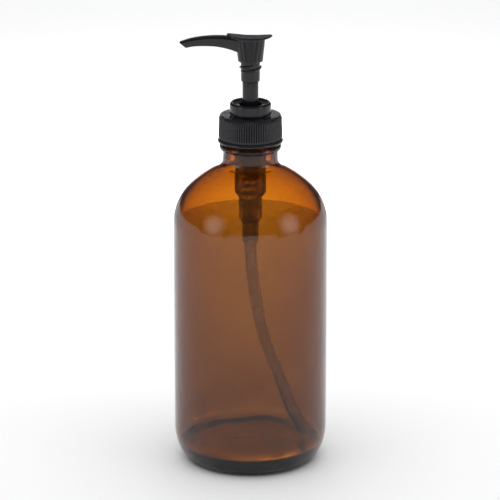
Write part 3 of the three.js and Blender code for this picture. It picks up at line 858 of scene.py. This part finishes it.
def build_plug():
    cone_z = PLUG_FLANGE_Z + 1.1
    low = low_z("plug")
    outline = [
        (0, low), (2.3, low), (2.9, low + 0.6), (2.9, PLUG_FLANGE_Z), (5.0, PLUG_FLANGE_Z),
        (5.0, cone_z), (3.9, cone_z), (2.2, 154.9), (1.9, 154.9), (1.9, 157.5), (0, 157.5),
    ]
    plug = turned("plug_body", rounded(outline, 0.2), NATURAL, 64)
    place(plug, "plunger", "natural_plastic", "plug")
    span = STEM_BORE_R - GAP
    for i in range(2):
        low, high = (-span, -0.55, 156.5), (span, 0.55, high_z("plug"))
        web = box_mesh(f"plug_web_{i}", low, high, TAU * i / 4, NATURAL)
        place(soften_edges(web, 0.15), "plunger", "natural_plastic")


def build_piston():
    low, high = 154.45, high_z("piston")
    outer = reach("piston")
    sleeve = STEM_R + GAP
    web_low, web_high = low + 2.35, low + 3.35
    outline = [
        (3.0, low), (4.4, low), (4.9, low + 0.95), (4.9, web_low), (5.5, web_low),
        (outer - 0.4, low - 0.25), (outer, low - 0.25), (outer - 0.15, web_low),
        (outer - 0.15, web_high), (outer, high - 0.2), (outer - 0.4, high - 0.2), (5.5, web_high),
        (4.9, web_high), (4.9, high), (sleeve, high), (sleeve, low + 1.45), (3.0, low + 0.85),
    ]
    piston = turned("piston_seal", rounded(outline, 0.12), LINER, 72)
    place(piston, "seal", "liner", "piston")


def build_stem():
    outline = [
        (STEM_BORE_R, STEM_Z), (STEM_R, STEM_Z), (STEM_R, STEM_STEP_Z), (STEM_TOP_R, STEM_STEP_Z),
        (STEM_TOP_R, STEM_TOP_Z), (STEM_TOP_BORE_R, STEM_TOP_Z), (STEM_TOP_BORE_R, STEM_STEP_Z - 4),
        (STEM_BORE_R, STEM_STEP_Z - 5),
    ]
    stem = turned("stem_tube", rounded(outline, 0.15), GLOSS_BLACK, 96)
    place(stem, "head", "black_gloss", "stem")


build_plug()
build_piston()
build_stem()


# ---- head ---------------------------------------------------------------------------------------

BARREL_Z = low_z("actuator")
BARREL_R = 4.6
BARREL_TOP_R = 4.75
LOCK_THREAD_Z = 195.4
SKIRT_Z = 200.5
SKIRT_R = 6.05
COLUMN_TOP_Z = 212.0
SADDLE_LEFT_X = -11.4
SADDLE_RIGHT_X = 10.6
SADDLE_HALF_W = 5.2
SPOUT_TIP_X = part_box("actuator")[0].x / MM


def barrel_relief(r, z, angle):
    if r > STEM_TOP_R + 0.9 and BARREL_Z + 1 < z < SKIRT_Z:
        return r + helix_ridge(z, angle, LOCK_THREAD_Z, LOCK_LEAD, 0.8, 0.6, 0.3, 0.65, starts=2)
    return r


def build_barrel():
    bore = STEM_TOP_R + GAP
    top = SKIRT_Z + 1.0
    rings = 44
    low = BARREL_Z + 0.25
    wall = [(BARREL_R + (BARREL_TOP_R - BARREL_R) * i / rings, low + (SKIRT_Z - low) * i / rings)
            for i in range(rings + 1)]
    outline = [(bore, BARREL_Z), (BARREL_R - 0.25, BARREL_Z), (BARREL_R - 0.07, BARREL_Z + 0.07)]
    outline += wall + [(BARREL_TOP_R, top), (bore, top)]
    barrel = turned("head_barrel", outline, GLOSS_BLACK, 144, barrel_relief, 1.5)
    place(barrel, "head", "black_gloss", "actuator")


def loft(name, rings, material):
    """A closed skin over rings of equal size, each an ordered list of points in millimetres."""
    sides = len(rings[0])
    corners = [tuple(c * MM for c in p) for ring in rings for p in ring]
    faces = []
    for k in range(len(rings) - 1):
        for i in range(sides):
            j = (i + 1) % sides
            faces.append((k * sides + i, k * sides + j, (k + 1) * sides + j, (k + 1) * sides + i))
    faces.append(tuple(range(sides - 1, -1, -1)))
    faces.append(tuple((len(rings) - 1) * sides + i for i in range(sides)))
    return add_mesh(name, corners, faces, material)


def power(value, exponent):
    return math.copysign(abs(value) ** exponent, value)


def column_skin():
    """The skirt, growing into an oval towards the saddle."""
    rings = []
    steps = 24
    stations = [(0.0, 0.25), (0.12, 0.07), (0.35, 0.0)]
    stations += [(0.35 + (COLUMN_TOP_Z - SKIRT_Z - 0.35) * i / steps, 0.0) for i in range(1, steps + 1)]
    for height, inset in stations:
        part = height / (COLUMN_TOP_Z - SKIRT_Z)
        rx = (SKIRT_R - inset) * (1 + 0.19 * part)
        ry = (SKIRT_R - inset) * (1 - 0.16 * part)
        rings.append([(rx * math.cos(TAU * i / 72), ry * math.sin(TAU * i / 72), SKIRT_Z + height)
                      for i in range(72)])
    return loft("head_column", rings, GLOSS_BLACK)


def saddle_height(x):
    return 212.2 + ((x - 1.0) / 9.4) ** 2


def saddle_skin():
    """A dished plate: rings from the middle of its top, over the rounded rim, to the middle below."""
    middle = (SADDLE_LEFT_X + SADDLE_RIGHT_X) / 2
    half_x = (SADDLE_RIGHT_X - SADDLE_LEFT_X) / 2
    rings = []

    def ring(scale, drop):
        points = []
        for i in range(96):
            angle = TAU * i / 96
            x = middle + half_x * scale * power(math.cos(angle), 0.78)
            y = SADDLE_HALF_W * scale * power(math.sin(angle), 0.85)
            side = (x - middle) / half_x
            thick = 1.1 - 0.5 * side ** 2
            points.append((x, y, saddle_height(x) - thick * drop))
        rings.append(points)

    for scale in (0.03, 0.2, 0.4, 0.6, 0.8, 0.92, 0.965):
        ring(scale, 0.0)
    for scale, drop in ((0.985, 0.08), (0.997, 0.27), (1.0, 0.5), (0.997, 0.73), (0.985, 0.92)):
        ring(scale, drop)
    for scale in (0.965, 0.8, 0.5, 0.2, 0.03):
        ring(scale, 1.0)
    return loft("head_saddle", [list(reversed(r)) for r in rings], GLOSS_BLACK)


def spout_skin():
    """The arched spout: rounded sections between its crown and its belly, tip end first."""
    crown = smooth_route([(SPOUT_TIP_X, 0, 209.9), (-29.6, 0, 211.3), (-24, 0, 212.4), (-17.5, 0, 212.95),
                          (-10, 0, 212.7), (-3, 0, 211.9)], 10)
    belly = smooth_route([(-30.7, 0, 207.1), (-27, 0, 207.8), (-22, 0, 208.0), (-16, 0, 207.7),
                          (-10, 0, 206.4), (-3, 0, 203.6)], 10)
    rings = []
    for top, low in zip(crown, belly):
        x = (top.x + low.x) / 2
        wide = 2.2 + 0.9 * min(1.0, max(0.0, (x - SPOUT_TIP_X) / 24))
        ring = []
        for i in range(48):
            angle = TAU * i / 48
            along = 0.5 + 0.5 * power(math.sin(angle), 0.4)
            p = low.lerp(top, along)
            ring.append((p.x, wide * power(math.cos(angle), 0.4) * (1 - 0.10 * (1 - along)), p.z))
        rings.append(ring)
    return loft("head_spout", [list(reversed(r)) for r in rings], GLOSS_BLACK)


def melted(name, pieces, voxel_mm, rounds):
    """The pieces joined into one moulded skin with small fillets where they meet."""
    corners, faces = [], []
    for piece in pieces:
        start = len(corners)
        corners += [tuple(v.co) for v in piece.data.vertices]
        faces += [tuple(start + i for i in f.vertices) for f in piece.data.polygons]
        bpy.data.objects.remove(piece)
    whole = add_mesh(name, corners, faces, GLOSS_BLACK)
    remesh = whole.modifiers.new("voxels", "REMESH")
    remesh.mode = "VOXEL"
    remesh.voxel_size = voxel_mm * MM
    remesh.use_smooth_shade = True
    smooth = whole.modifiers.new("fillets", "SMOOTH")
    smooth.factor = 0.5
    smooth.iterations = rounds
    return applied(whole)


def build_head():
    head = melted("head_top", [column_skin(), saddle_skin(), spout_skin()], 0.2, 6)
    socket_top = STEM_TOP_Z + GAP
    upright = [(0, 0, SKIRT_Z - 1), (0, 0, socket_top)]
    drill(head, swept("socket_cutter", upright, STEM_TOP_R + GAP, GLOSS_BLACK, sides=64))
    way = smooth_route([
        (0, 0, STEM_TOP_Z - 0.5), (0, 0, 206.5), (-2.6, 0, 209.0), (-9, 0, 209.9),
        (-18, 0, 210.4), (-27, 0, 209.6), (SPOUT_TIP_X - 2, 0, 207.3)], 8)
    drill(head, swept("channel_cutter", way, 1.35, GLOSS_BLACK, sides=32))
    head.data.polygons.foreach_set("use_smooth", [True] * len(head.data.polygons))
    head.data.set_sharp_from_angle(angle=math.radians(50))
    place(head, "head", "black_gloss", "actuator")


build_barrel()
build_head()
